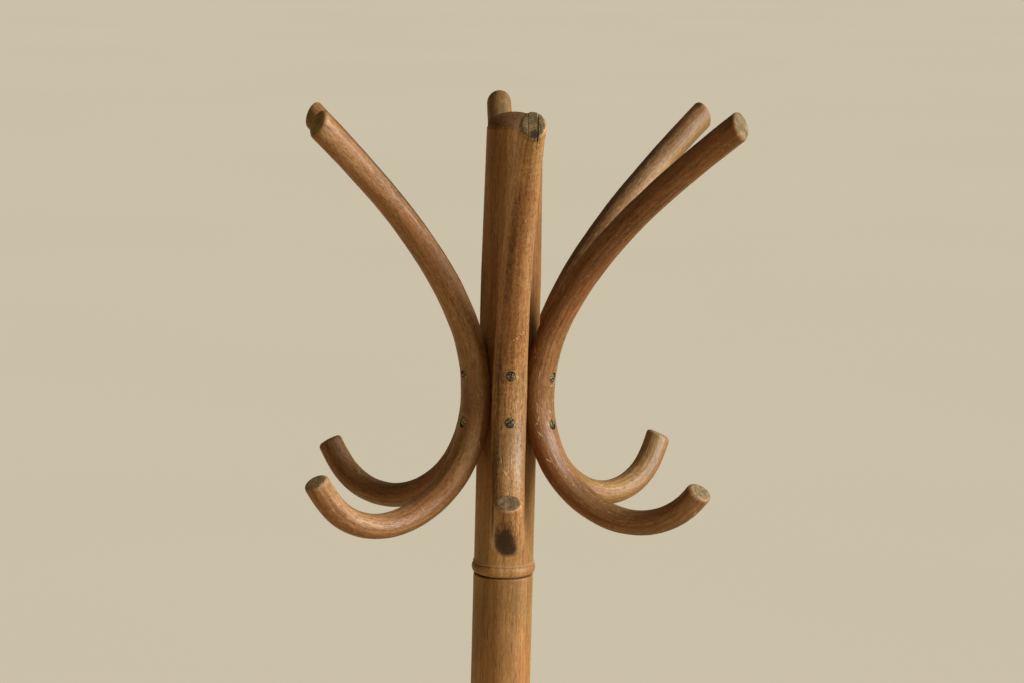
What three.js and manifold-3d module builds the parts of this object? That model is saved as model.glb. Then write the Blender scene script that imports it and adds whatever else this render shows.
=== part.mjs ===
// A standing coat rack in bentwood: a turned post on four bent legs with an umbrella ring, and a head that
// turns on a steel spindle and carries six bent hooks. Millimetres, +Z up, origin on the floor under the post.
import * as THREE from "three";
import { mergeVertices } from "three/addons/utils/BufferGeometryUtils.js";
import Module from "manifold-3d";

const wasm = await Module();
wasm.setup();

// ---- Driving dimensions -------------------------------------------------------------------------------

const JOINT_HEIGHT = 1420; // floor to the top of the lower post, where the head turns
const FIT_GAP = 0.3; // between pieces that touch

const POST_RADIUS = 27; // lower post, all its length
const POST_FOOT_HEIGHT = 185; // underside of the turned end of the lower post
const POST_FOOT_RADIUS = 13; // flat left on the turned end
const POST_FOOT_LENGTH = 24; // length of the turned end
const POST_ARRIS = 1.2; // softened top edge of the lower post

const HEAD_FOOT_RADIUS = 26.8; // head post just above its bead
const HEAD_TOP_RADIUS = 24.8; // head post under its crown
const HEAD_LENGTH = 416.5; // head post, bead to crown
const HEAD_TAPER_START = 270; // where the head post starts to taper, above its foot
const CROWN_HEIGHT = 14; // domed end of the head post
const BEAD_HEIGHT = 9;
const BEAD_PROUD = 2;
const BEAD_FULLNESS = 0.6; // under 1 makes the bead squarer than a sine
const QUIRK_HEIGHT = 1.6; // small step over the bead
const QUIRK_PROUD = 0.8;

const WASHER_THICKNESS = 1.2;
const WASHER_INSET = 3; // the washer's rim stays inside the post's
const SPINDLE_RADIUS = 8;
const SPINDLE_LENGTH = 118;
const SPINDLE_IN_HEAD = 58;
const SPINDLE_CHAMFER = 1.5;
const SPINDLE_END_ROOM = 1.2; // over the spindle's top end, so that the head rests on the washer
const HOLE_OVERRUN = 1; // how far a blind hole's tool starts outside the wood

const HOOK_JOINT_HEIGHT = 167.5; // middle of each hook's two screws, above the head's foot
const HOOK_SEAT_DEPTH = 5.9; // how far the hook's back is hollowed to sit on the post
const HOOK_SIDE_GAP = 0.8; // between neighbouring hooks where they crowd round the post
const HOOK_LEAN = 2.4; // degrees that the upper arm already leans outward at the screws
const HOOK_SAW_ANGLE = 17; // upper ends are sawn this much off square, towards upright
const HOOK_SAW_REACH = 34; // length of rod over which the slant of the cut fades
const SEAT_REACH = 80; // length of rod, each way from the screws, that lies along the post
const HOOK_UPPER_BENDS = [
  // [length, degrees], one arc after another from the screws to the end
  [70, 24],
  [50, 9.6],
  [90, 9.8],
  [100, 4.5],
];
const HOOK_LOWER_BENDS = [
  [57, 28.6],
  [80, 47.6],
  [45, 34],
  [40, 35],
  [24, 9],
];
const HOOK_THICKNESS = [
  // [distance from the screws, upper arm negative, half the rod's size in the plane of its bends]
  [-310, 12.3],
  [-205, 11.4],
  [-102, 12.3],
  [0, 12.4],
  [81, 11.8],
  [162, 10.9],
  [245, 11.3],
];
const HOOK_WIDTH = [
  // half the rod's size across the plane of its bends; beside the post, neighbours set it
  [-310, 11.2],
  [-205, 12.9],
  [-102, 14.0],
  [81, 15.0],
  [162, 14.5],
  [245, 11.9],
];
// The hooks are bent by hand over one former, so each strays a little from it. turn is its place round the
// post in degrees; screws is how far its pair of screws stands above its middle; upper and lower are each
// arm's [spring, spare, drift], where spring multiplies every bend, spare lengthens the end and drift carries
// it sideways.
const HOOKS = [
  { name: "hook_front", turn: 2.5, lift: -1, screws: 0, upper: [0.91, 4, 6], lower: [0.99, 6, -6] },
  {
    name: "hook_front_right",
    turn: 57.3,
    lift: 2.8,
    screws: -8,
    upper: [1.03, 15, 2.7],
    lower: [0.995, -13, 23.6],
  },
  {
    name: "hook_back_right",
    turn: 123.5,
    lift: -0.8,
    screws: -3,
    upper: [1.025, 0.3, 6.3],
    lower: [0.993, 0, 33.7],
  },
  { name: "hook_back", turn: 184, lift: -1, screws: -3, upper: [0.97, -8, 2], lower: [1, 0, 0] },
  {
    name: "hook_back_left",
    turn: 242.4,
    lift: -2,
    screws: -3,
    upper: [1.106, 2.3, -24.6],
    lower: [0.959, 1.4, -16.9],
  },
  {
    name: "hook_front_left",
    turn: 302.6,
    lift: -1.3,
    screws: -4,
    upper: [0.965, -2.8, 7.3],
    lower: [0.971, 5.5, 5],
  },
];

const HOOK_SCREW = { length: 32, head: 4.1, shank: 2.1, slot: 1, slotDepth: 1, spacing: 41, sink: 0.4 };
const LEG_SCREW = { length: 40, head: 5.2, shank: 2.7, slot: 1.2, slotDepth: 1.3, spacing: 46, sink: 0.4 };
const RING_SCREW = { length: 30, head: 3.6, shank: 1.9, slot: 0.9, slotDepth: 0.9, sink: 0.4 };
const COUNTERSINK_ROOM = 0.7; // the countersink's mouth is this much wider than the screw's head
const SCREW_TIP = 0.4; // radius left at a screw's point
const SCREW_TAPER = 0.3; // share of a screw's length that its point takes
const SCREW_RIM = 0.3; // thickness of the head's edge

const LEG_NAMES = ["leg_front", "leg_right", "leg_back", "leg_left"];
const LEG_JOINT_HEIGHT = 310; // middle of each leg's two screws, above the floor
const LEG_SEAT_DEPTH = 4;
const LEG_UPPER_BENDS = [
  [30, 0],
  [140, 60],
  [140, -60],
  [45, 0],
];
const LEG_LOWER_BENDS = [
  [40, 0],
  [120, 60],
  [88, 0],
  [120, -45],
  [62, 0],
];
const LEG_ROD = [
  // [distance from the screws, upper arm negative, half the rod's size], round in section
  [-355, 13],
  [-120, 15],
  [0, 16],
  [180, 15],
  [420, 13.5],
];

const RING_ROD_RADIUS = 10;
const RING_HEIGHT_BELOW_LEG_END = 30;
const RING_SEAT_DEPTH = 1.5; // how far the ring is let into each leg

const GLIDE_RADIUS = 11;
const GLIDE_THICKNESS = 3.7;
const GLIDE_PIN_RADIUS = 1.5;
const GLIDE_PIN_LENGTH = 14;

const END_SOFTENING = 2.2; // softened edge at a rod's sawn end

// Facets of the model: round each rod and the length of one along it, and round the turned pieces.
const ROD_SIDES = 12;
const HOOK_FACET = 24;
const LEG_FACET = 34;
const POST_SIDES = 24;
const SCREW_SIDES = 8;
const RING_SIDES = 10;
const RING_STEPS = 32;
const QUARTER_SHARES = [0.25, 0.5, 0.75]; // places along a quarter round
const BEAD_SHARES = [0.15, 0.35, 0.5, 0.65, 0.85]; // places up the bead
const LINE_STEPS_PER_FACET = 4; // the centre line is worked out this much finer than the facets

// ---- Materials ----------------------------------------------------------------------------------------

const WOODS = {
  hook: { color: 0x8a5a30, roughness: 0.48, metalness: 0 },
  head: { color: 0x8f6236, roughness: 0.5, metalness: 0 },
  post: { color: 0xb08450, roughness: 0.5, metalness: 0 },
  leg: { color: 0x8c5d33, roughness: 0.5, metalness: 0 },
};
const STEEL = { color: 0x55504a, roughness: 0.42, metalness: 0.9 };
const NYLON = { color: 0x2a2622, roughness: 0.6, metalness: 0 };

// ---- Solids -------------------------------------------------------------------------------------------

function solidOf(geometry) {
  const bare = geometry.clone();
  bare.deleteAttribute("normal");
  bare.deleteAttribute("uv");
  const welded = mergeVertices(bare, 1e-3);
  return new wasm.Manifold(
    new wasm.Mesh({
      numProp: 3,
      vertProperties: welded.attributes.position.array,
      triVerts: new Uint32Array(welded.index.array),
    }),
  );
}

function geometryOf(solid) {
  const { numProp, vertProperties, triVerts } = solid.getMesh();
  const position = new Float32Array((vertProperties.length / numProp) * 3);
  for (let i = 0; i < position.length / 3; i++) {
    position.set(vertProperties.subarray(i * numProp, i * numProp + 3), i * 3);
  }
  const geometry = new THREE.BufferGeometry();
  geometry.setAttribute("position", new THREE.BufferAttribute(position, 3));
  geometry.setIndex(new THREE.BufferAttribute(new Uint32Array(triVerts), 1));
  geometry.computeVertexNormals();
  return geometry;
}

function cut(solid, tools) {
  return tools.reduce((rest, tool) => rest.subtract(tool), solid);
}

function mesh(name, geometry, finish) {
  const made = new THREE.Mesh(geometry, new THREE.MeshStandardMaterial(finish));
  made.name = name;
  return made;
}

// A solid turned about +Z from [radius, height] pairs that run upwards from the axis back to the axis.
function turned(profile, sides) {
  const points = profile.map(([radius, height]) => new THREE.Vector2(radius, height));
  return new THREE.LatheGeometry(points, sides).rotateX(Math.PI / 2);
}

// The same solid lying along +X, its foot at `from`.
function turnedAlongX(profile, sides, from, height) {
  return turned(profile, sides).rotateY(Math.PI / 2).translate(from, 0, height);
}

// ---- Bent rods ----------------------------------------------------------------------------------------

// The heading of an arm, in degrees away from the post, at a distance from its screws.
function headingAt(bends, lean, spring, distance) {
  let heading = lean;
  let left = distance;
  bends.forEach(([length, degrees], i) => {
    const last = i === bends.length - 1;
    const run = last ? left : Math.min(left, length);
    heading += (degrees * spring * run) / length;
    left -= run;
  });
  return heading;
}

const lengthOf = (bends) => bends.reduce((sum, [length]) => sum + length, 0);

// One arm's centre line: points [distance, out, up, heading] from the screws to the end.
function centreLine(bends, lean, [spring, spare], facet) {
  const length = lengthOf(bends) + spare;
  const steps = Math.round(length / facet) * LINE_STEPS_PER_FACET;
  const points = [{ distance: 0, out: 0, up: 0, heading: lean }];
  for (let i = 1; i <= steps; i++) {
    const step = length / steps;
    const distance = i * step;
    const middle = THREE.MathUtils.degToRad(headingAt(bends, lean, spring, distance - step / 2));
    const { out, up } = points[i - 1];
    points.push({
      distance,
      out: out + Math.sin(middle) * step,
      up: up + Math.cos(middle) * step,
      heading: headingAt(bends, lean, spring, distance),
    });
  }
  return points;
}

// A value that runs straight between [place, value] pairs.
function between(pairs, place) {
  const found = pairs.findIndex(([at], i) => i > 0 && at >= place);
  const i = found < 0 ? pairs.length - 1 : found;
  const [[at0, value0], [at1, value1]] = [pairs[i - 1], pairs[i]];
  return THREE.MathUtils.mapLinear(THREE.MathUtils.clamp(place, at0, at1), at0, at1, value0, value1);
}

// The rod's centre line from the end of its upper arm to the end of its lower one, out along +X, up along
// +Z, sideways along +Y. `along` is negative on the upper arm.
function rodLine(shape) {
  const arm = (bends, stray, side) => {
    const points = centreLine(bends, -side * shape.lean, stray, shape.facet);
    const length = points[points.length - 1].distance;
    const drift = stray[2];
    return points.map((p) => ({
      along: side * p.distance,
      out: shape.out + p.out,
      up: -side * p.up,
      aside: drift * (p.distance / length) ** 2,
      heading: THREE.MathUtils.degToRad(-side * p.heading),
    }));
  };
  const upper = arm(shape.upperBends, shape.upper, -1).reverse();
  const lower = arm(shape.lowerBends, shape.lower, 1);
  return [...upper, ...lower.slice(1)];
}

// A rod turned straight, with softened sawn ends, and then bent along its line.
function bentRod(shape) {
  const line = rodLine(shape);
  const start = line[0].along;
  const end = line[line.length - 1].along;
  const soft = END_SOFTENING;
  const profile = [new THREE.Vector2(0, start)];
  profile.push(new THREE.Vector2(1 - soft / shape.thickness(start), start));
  profile.push(new THREE.Vector2(1, start + soft));
  const stride = LINE_STEPS_PER_FACET;
  for (let i = stride; i < line.length - stride; i += stride) {
    profile.push(new THREE.Vector2(1, line[i].along));
  }
  profile.push(new THREE.Vector2(1, end - soft));
  profile.push(new THREE.Vector2(1 - soft / shape.thickness(end), end));
  profile.push(new THREE.Vector2(0, end));
  const rod = new THREE.LatheGeometry(profile, ROD_SIDES);
  const column = (key) => line.map((p) => [p.along, p[key]]);
  const [outs, ups, asides, headings] = ["out", "up", "aside", "heading"].map(column);
  const vertex = new THREE.Vector3();
  const places = rod.attributes.position;
  for (let i = 0; i < places.count; i++) {
    vertex.fromBufferAttribute(places, i);
    const thick = vertex.z * shape.thickness(vertex.y);
    const wide = vertex.x * shape.width(vertex.y);
    const fade = THREE.MathUtils.clamp(1 - (vertex.y - start) / HOOK_SAW_REACH, 0, 1);
    const along = vertex.y + fade * thick * Math.tan(THREE.MathUtils.degToRad(shape.saw));
    const heading = between(headings, along);
    places.setXYZ(
      i,
      between(outs, along) + Math.cos(heading) * thick,
      between(asides, along) - wide,
      between(ups, along) - Math.sin(heading) * thick,
    );
  }
  return { rod, line };
}

// How far out the rod's outer face stands at a height measured from its screws.
function outerFace(shape, line, up) {
  const nearSeat = line.filter((p) => Math.abs(p.along) < SEAT_REACH).reverse();
  const out = between(nearSeat.map((p) => [p.up, p.out]), up);
  const heading = between(nearSeat.map((p) => [p.up, p.heading]), up);
  const along = between(nearSeat.map((p) => [p.up, p.along]), up);
  return out + shape.thickness(along) / Math.cos(heading);
}

// ---- Screws -------------------------------------------------------------------------------------------

const headDepth = (screw) => screw.head - screw.shank;

// A slotted countersunk wood screw, its point towards the axis and its head facing out along +X.
function woodScrew(screw, face, height) {
  const { length, head, shank, slot, slotDepth } = screw;
  const profile = [
    [0, 0],
    [SCREW_TIP, 0],
    [shank, length * SCREW_TAPER],
    [shank, length - headDepth(screw)],
    [head, length - SCREW_RIM],
    [head, length],
    [0, length],
  ];
  const body = solidOf(turnedAlongX(profile, SCREW_SIDES, face - length, height));
  const groove = new THREE.BoxGeometry(slotDepth * 2, (head + HOLE_OVERRUN) * 2, slot);
  return geometryOf(cut(body, [solidOf(groove.translate(face, 0, height))]));
}

// The hole it needs: clearance round the shank and the head, and a countersink open to the outside.
function screwHole(screw, face, height) {
  const room = COUNTERSINK_ROOM;
  const depth = screw.length + FIT_GAP * 2;
  const profile = [
    [0, 0],
    [SCREW_TIP + FIT_GAP, 0],
    [screw.shank + FIT_GAP, screw.length * SCREW_TAPER],
    [screw.shank + FIT_GAP, depth - headDepth(screw) - room],
    [screw.head + room, depth],
    [screw.head + room, depth + screw.head],
    [0, depth + screw.head],
  ];
  return solidOf(turnedAlongX(profile, SCREW_SIDES, face - depth, height));
}

// ---- Posts, spindle and washer ------------------------------------------------------------------------

const runningGap = WASHER_THICKNESS + FIT_GAP * 2;
const spindleInPost = SPINDLE_LENGTH - SPINDLE_IN_HEAD;
const headRadiusAt = (height) =>
  height < HEAD_TAPER_START
    ? HEAD_FOOT_RADIUS
    : THREE.MathUtils.mapLinear(height, HEAD_TAPER_START, HEAD_LENGTH, HEAD_FOOT_RADIUS, HEAD_TOP_RADIUS);

function lowerPostShape(gap) {
  const foot = POST_FOOT_HEIGHT;
  const rise = QUARTER_SHARES.map((share) => [
    POST_FOOT_RADIUS + (POST_RADIUS - POST_FOOT_RADIUS) * Math.sin((share * Math.PI) / 2) + gap,
    foot + POST_FOOT_LENGTH * (1 - Math.cos((share * Math.PI) / 2)),
  ]);
  return turned(
    [
      [0, foot],
      [POST_FOOT_RADIUS + gap, foot],
      ...rise,
      [POST_RADIUS + gap, foot + POST_FOOT_LENGTH],
      [POST_RADIUS + gap, JOINT_HEIGHT - POST_ARRIS],
      [POST_RADIUS - POST_ARRIS + gap, JOINT_HEIGHT],
      [0, JOINT_HEIGHT],
    ],
    POST_SIDES,
  );
}

// The head post, its foot at z = 0.
function headPostShape(gap) {
  const bead = BEAD_SHARES.map((share) => [
    HEAD_FOOT_RADIUS + BEAD_PROUD * Math.sin(share * Math.PI) ** BEAD_FULLNESS + gap,
    share * BEAD_HEIGHT,
  ]);
  const crown = QUARTER_SHARES.map((share) => [
    HEAD_TOP_RADIUS * Math.cos((share * Math.PI) / 2) + gap,
    HEAD_LENGTH - CROWN_HEIGHT * (1 - Math.sin((share * Math.PI) / 2)),
  ]);
  return turned(
    [
      [0, 0],
      [HEAD_FOOT_RADIUS + gap, 0],
      ...bead,
      [HEAD_FOOT_RADIUS + QUIRK_PROUD + gap, BEAD_HEIGHT],
      [HEAD_FOOT_RADIUS + QUIRK_PROUD + gap, BEAD_HEIGHT + QUIRK_HEIGHT],
      [HEAD_FOOT_RADIUS + gap, BEAD_HEIGHT + QUIRK_HEIGHT],
      [HEAD_FOOT_RADIUS + gap, HEAD_TAPER_START],
      [HEAD_TOP_RADIUS + gap, HEAD_LENGTH - CROWN_HEIGHT],
      ...crown,
      [0, HEAD_LENGTH],
    ],
    POST_SIDES,
  );
}

function spindle() {
  const [radius, chamfer, length] = [SPINDLE_RADIUS, SPINDLE_CHAMFER, SPINDLE_LENGTH];
  const profile = [
    [0, 0],
    [radius - chamfer, 0],
    [radius, chamfer],
    [radius, length - chamfer],
    [radius - chamfer, length],
    [0, length],
  ];
  return turned(profile, POST_SIDES).translate(0, 0, JOINT_HEIGHT - spindleInPost);
}

function spindleHole(from, depth) {
  const radius = SPINDLE_RADIUS + FIT_GAP;
  const profile = [
    [0, 0],
    [radius, 0],
    [radius, depth],
    [0, depth],
  ];
  return solidOf(turned(profile, POST_SIDES).translate(0, 0, from));
}

function washer() {
  const outer = POST_RADIUS - WASHER_INSET;
  const inner = SPINDLE_RADIUS + FIT_GAP;
  const base = JOINT_HEIGHT + FIT_GAP;
  const profile = [
    [inner, base],
    [outer, base],
    [outer, base + WASHER_THICKNESS],
    [inner, base + WASHER_THICKNESS],
    [inner, base],
  ];
  return turned(profile, POST_SIDES);
}

// ---- Hooks --------------------------------------------------------------------------------------------

const hookOut = headRadiusAt(HOOK_JOINT_HEIGHT) + between(HOOK_THICKNESS, 0) - HOOK_SEAT_DEPTH;

// Half a hook's width beside the post: neighbours stand round it with a gap between their sides.
function hookWidthAtSeat() {
  const turns = HOOKS.map((hook) => hook.turn);
  const pitches = turns.map((turn, i) => (turns[(i + 1) % turns.length] - turn + 360) % 360);
  const half = THREE.MathUtils.degToRad(Math.min(...pitches) / 2);
  const reach = hookOut * Math.sin(half) - HOOK_SIDE_GAP / 2;
  const thickness = between(HOOK_THICKNESS, 0);
  return Math.sqrt(reach ** 2 - (thickness * Math.sin(half)) ** 2) / Math.cos(half);
}

function hookShape(hook) {
  const widths = [...HOOK_WIDTH, [0, hookWidthAtSeat()]].sort((a, b) => a[0] - b[0]);
  return {
    out: hookOut,
    lean: HOOK_LEAN,
    saw: HOOK_SAW_ANGLE,
    facet: HOOK_FACET,
    upperBends: HOOK_UPPER_BENDS,
    lowerBends: HOOK_LOWER_BENDS,
    upper: hook.upper,
    lower: hook.lower,
    thickness: (along) => between(HOOK_THICKNESS, along),
    width: (along) => between(widths, along),
  };
}

const pairOf = (screw, middle) => [middle + screw.spacing / 2, middle - screw.spacing / 2];

function addHook(head, headTools, hook) {
  const shape = hookShape(hook);
  const { rod, line } = bentRod(shape);
  const middle = HOOK_JOINT_HEIGHT + hook.lift;
  const angle = THREE.MathUtils.degToRad(hook.turn - 90);
  const group = new THREE.Group();
  group.rotation.z = angle;
  group.position.z = middle;
  const heights = pairOf(HOOK_SCREW, hook.screws);
  const faces = heights.map((up) => outerFace(shape, line, up) - HOOK_SCREW.sink);
  const holes = heights.map((up, i) => screwHole(HOOK_SCREW, faces[i], up));
  const seat = solidOf(headPostShape(FIT_GAP).rotateZ(-angle).translate(0, 0, -middle));
  group.add(mesh(hook.name, geometryOf(cut(solidOf(rod), [seat, ...holes])), WOODS.hook));
  ["upper", "lower"].forEach((place, i) => {
    const screw = woodScrew(HOOK_SCREW, faces[i], heights[i]);
    group.add(mesh(`${hook.name}_screw_${place}`, screw, STEEL));
  });
  head.add(group);
  const degrees = THREE.MathUtils.radToDeg(angle);
  headTools.push(...holes.map((hole) => hole.rotate([0, 0, degrees]).translate([0, 0, middle])));
}

function buildHead() {
  const head = new THREE.Group();
  head.position.z = JOINT_HEIGHT + runningGap;
  const tools = [spindleHole(-HOLE_OVERRUN, SPINDLE_IN_HEAD - runningGap + HOLE_OVERRUN + SPINDLE_END_ROOM)];
  HOOKS.forEach((hook) => addHook(head, tools, hook));
  head.add(mesh("head_post", geometryOf(cut(solidOf(headPostShape(0)), tools)), WOODS.head));
  return head;
}

// ---- Legs, umbrella ring and glides -------------------------------------------------------------------

const legOut = POST_RADIUS + between(LEG_ROD, 0) - LEG_SEAT_DEPTH;
const legShape = {
  out: legOut,
  lean: 0,
  saw: 0,
  facet: LEG_FACET,
  upperBends: LEG_UPPER_BENDS,
  lowerBends: LEG_LOWER_BENDS,
  upper: [1, 0, 0],
  lower: [1, 0, 0],
  thickness: (along) => between(LEG_ROD, along),
  width: (along) => between(LEG_ROD, along),
};
const legRod = bentRod(legShape);
const legEnd = legRod.line[0];
const ringUp = legEnd.up - RING_HEIGHT_BELOW_LEG_END;
const upperLine = legRod.line.filter((p) => p.along <= 0).reverse();
const legOutAtRing = between(upperLine.map((p) => [p.up, p.out]), ringUp);
const legRodAtRing = legShape.thickness(-lengthOf(LEG_UPPER_BENDS) + RING_HEIGHT_BELOW_LEG_END);
const ringRadius = legOutAtRing - legRodAtRing - RING_ROD_RADIUS + RING_SEAT_DEPTH;
const footLine = legRod.line.filter((p) => p.along >= 0).reverse();
const footOut = between(footLine.map((p) => [p.up, p.out]), GLIDE_THICKNESS - LEG_JOINT_HEIGHT);

function ringShape(gap) {
  return new THREE.TorusGeometry(ringRadius, RING_ROD_RADIUS + gap, RING_SIDES, RING_STEPS);
}

// A floor glide with its pin, standing at z = 0.
function glideShape(gap) {
  const profile = [
    [0, 0],
    [GLIDE_RADIUS + gap, 0],
    [GLIDE_RADIUS + gap, GLIDE_THICKNESS + gap],
    [GLIDE_PIN_RADIUS + gap, GLIDE_THICKNESS + gap],
    [GLIDE_PIN_RADIUS + gap, GLIDE_THICKNESS + GLIDE_PIN_LENGTH + gap],
    [0, GLIDE_THICKNESS + GLIDE_PIN_LENGTH + gap],
  ];
  return turned(profile, SCREW_SIDES * 2);
}

// Everything under the top of the glides, which the foot is sawn off level with.
function floorTool() {
  const size = POST_FOOT_HEIGHT * 2;
  const slab = new THREE.BoxGeometry(size, size, size);
  return slab.translate(footOut, 0, GLIDE_THICKNESS + FIT_GAP - size / 2 - LEG_JOINT_HEIGHT);
}

function addLeg(base, postTools, ringTools, index) {
  const name = LEG_NAMES[index];
  const angle = (index / LEG_NAMES.length) * Math.PI * 2 - Math.PI / 2;
  const group = new THREE.Group();
  group.rotation.z = angle;
  group.position.z = LEG_JOINT_HEIGHT;
  const heights = pairOf(LEG_SCREW, 0);
  const face = legOut + between(LEG_ROD, 0) - LEG_SCREW.sink;
  const holes = heights.map((up) => screwHole(LEG_SCREW, face, up));
  const ringFace = legOutAtRing + legRodAtRing - RING_SCREW.sink;
  const ringHole = screwHole(RING_SCREW, ringFace, ringUp);
  const seat = solidOf(lowerPostShape(FIT_GAP).rotateZ(-angle).translate(0, 0, -LEG_JOINT_HEIGHT));
  const ringSeat = solidOf(ringShape(FIT_GAP).rotateZ(-angle).translate(0, 0, ringUp));
  const pinHole = solidOf(glideShape(FIT_GAP).translate(footOut, 0, -LEG_JOINT_HEIGHT));
  const tools = [seat, ringSeat, ringHole, pinHole, solidOf(floorTool()), ...holes];
  group.add(mesh(name, geometryOf(cut(solidOf(legRod.rod), tools)), WOODS.leg));
  ["upper", "lower"].forEach((place, i) => {
    group.add(mesh(`${name}_screw_${place}`, woodScrew(LEG_SCREW, face, heights[i]), STEEL));
  });
  group.add(mesh(`${name}_ring_screw`, woodScrew(RING_SCREW, ringFace, ringUp), STEEL));
  const glide = glideShape(0).translate(footOut, 0, -LEG_JOINT_HEIGHT);
  group.add(mesh(`${name}_glide`, glide, NYLON));
  base.add(group);
  const placed = (tool, up) =>
    tool.rotate([0, 0, THREE.MathUtils.radToDeg(angle)]).translate([0, 0, up]);
  postTools.push(...holes.map((hole) => placed(hole, LEG_JOINT_HEIGHT)));
  ringTools.push(placed(ringHole, -ringUp));
}

function buildBase() {
  const base = new THREE.Group();
  const postTools = [spindleHole(JOINT_HEIGHT - spindleInPost - FIT_GAP, SPINDLE_LENGTH)];
  const ringTools = [];
  LEG_NAMES.forEach((_, i) => addLeg(base, postTools, ringTools, i));
  base.add(mesh("lower_post", geometryOf(cut(solidOf(lowerPostShape(0)), postTools)), WOODS.post));
  const ring = mesh("umbrella_ring", geometryOf(cut(solidOf(ringShape(0)), ringTools)), WOODS.leg);
  ring.position.z = LEG_JOINT_HEIGHT + ringUp;
  base.add(ring);
  base.add(mesh("swivel_spindle", spindle(), STEEL));
  base.add(mesh("swivel_washer", washer(), STEEL));
  return base;
}

const coatRack = new THREE.Group();
coatRack.add(buildBase(), buildHead());
export default coatRack;
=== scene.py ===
"""A standing coat rack in bentwood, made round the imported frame: metres, +Z up, origin on the floor.

The rods are turned straight and then bent along their lines, as the real ones are. Each piece keeps the
place that every point had in the straight timber in an attribute called grain, so the figure of the wood
follows the bends and runs out at the sawn ends.
"""
import random
from math import cos, hypot, pi, radians, sin, sqrt, tan

import bmesh
import bpy
import numpy as np
from mathutils import Matrix, Vector


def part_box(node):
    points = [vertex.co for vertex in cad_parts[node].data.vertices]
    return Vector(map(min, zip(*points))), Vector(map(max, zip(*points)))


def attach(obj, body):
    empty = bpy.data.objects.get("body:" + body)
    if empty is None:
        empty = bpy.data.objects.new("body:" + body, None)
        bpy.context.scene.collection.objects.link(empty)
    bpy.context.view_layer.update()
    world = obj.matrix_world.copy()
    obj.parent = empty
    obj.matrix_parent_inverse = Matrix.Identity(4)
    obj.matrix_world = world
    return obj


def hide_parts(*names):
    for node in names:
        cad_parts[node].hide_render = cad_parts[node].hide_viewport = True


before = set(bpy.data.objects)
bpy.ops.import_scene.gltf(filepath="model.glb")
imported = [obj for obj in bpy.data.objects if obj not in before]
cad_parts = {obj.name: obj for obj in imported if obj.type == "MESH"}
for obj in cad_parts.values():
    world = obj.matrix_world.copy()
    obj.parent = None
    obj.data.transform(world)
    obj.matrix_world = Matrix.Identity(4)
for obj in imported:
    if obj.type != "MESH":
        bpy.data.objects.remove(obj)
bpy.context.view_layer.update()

# ---- Sizes, in metres ----

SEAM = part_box("lower_post")[1].z  # top of the lower post, where the head turns
HEAD_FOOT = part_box("head_post")[0].z
HEAD_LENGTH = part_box("head_post")[1].z - HEAD_FOOT
POST_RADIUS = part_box("lower_post")[1].x
POST_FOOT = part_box("lower_post")[0].z
FIT_GAP = 0.0003

POST_FOOT_RADIUS = 0.013
POST_FOOT_LENGTH = 0.024
POST_ARRIS = 0.0012
HEAD_FOOT_RADIUS = 0.0268
HEAD_TOP_RADIUS = 0.0248
HEAD_TAPER_START = 0.270
CROWN_HEIGHT = 0.014
BEAD_HEIGHT = 0.009
BEAD_PROUD = 0.002
BEAD_FULLNESS = 0.6
BEAD_STEPS = 14
QUIRK_HEIGHT = 0.0016
QUIRK_PROUD = 0.0008
QUIRK_CORNER = 0.0003
QUIRK_ROOT = 0.0002
CROWN_LINE = 0.0005  # half the width of the line scribed under the crown

HOOK_MIDDLE = 0.1675  # middle of a hook's screws, above the head's foot
HOOK_SEAT_DEPTH = 0.0059
HOOK_SIDE_GAP = 0.0008
HOOK_LEAN = 2.4
HOOK_SAW_ANGLE = 17
SAW_REACH = 0.034
# [length, degrees], one arc after another from the screws to the end
HOOK_UPPER_BENDS = [[0.070, 24], [0.050, 9.6], [0.090, 9.8], [0.100, 4.5]]
HOOK_LOWER_BENDS = [[0.057, 28.6], [0.080, 47.6], [0.045, 34], [0.040, 35], [0.024, 9]]
# [distance from the screws, half the rod's size in the plane of its bends and across it]
HOOK_THICKNESS = [
    [-0.310, 0.0123],
    [-0.205, 0.0114],
    [-0.102, 0.0123],
    [0, 0.0124],
    [0.081, 0.0118],
    [0.162, 0.0109],
    [0.245, 0.0113],
]
HOOK_WIDTH = [
    [-0.310, 0.0112],
    [-0.205, 0.0129],
    [-0.102, 0.0140],
    [0.081, 0.0150],
    [0.162, 0.0145],
    [0.245, 0.0119],
]
# turn round the post, lift, how far the screws stand above the middle, then for each arm: spring of its
# bends, spare length at its end, drift sideways
HOOKS = {
    "hook_front": [2.5, -0.001, 0, [0.91, 0.004, 0.006], [0.99, 0.006, -0.006]],
    "hook_front_right": [57.3, 0.0028, -0.008, [1.03, 0.015, 0.0027], [0.995, -0.013, 0.0236]],
    "hook_back_right": [123.5, -0.0008, -0.003, [1.025, 0.0003, 0.0063], [0.993, 0, 0.0337]],
    "hook_back": [184, -0.001, -0.003, [0.97, -0.008, 0.002], [1, 0, 0]],
    "hook_back_left": [242.4, -0.002, -0.003, [1.106, 0.0023, -0.0246], [0.959, 0.0014, -0.0169]],
    "hook_front_left": [302.6, -0.0013, -0.004, [0.965, -0.0028, 0.0073], [0.971, 0.0055, 0.005]],
}
SCREW_PLACES = ["upper", "lower"]

HOOK_SCREW = {"length": 0.032, "head": 0.0041, "shank": 0.0021, "slot": 0.001, "spacing": 0.041}
LEG_SCREW = {"length": 0.040, "head": 0.0052, "shank": 0.0027, "slot": 0.0012, "spacing": 0.046}
RING_SCREW = {"length": 0.030, "head": 0.0036, "shank": 0.0019, "slot": 0.0009}
SCREW_SINK = 0.0004
SCREW_TIP = 0.0004
SCREW_RIM = 0.00035
SCREW_DOME = 0.00045
COUNTERSINK_ROOM = 0.0007

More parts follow.
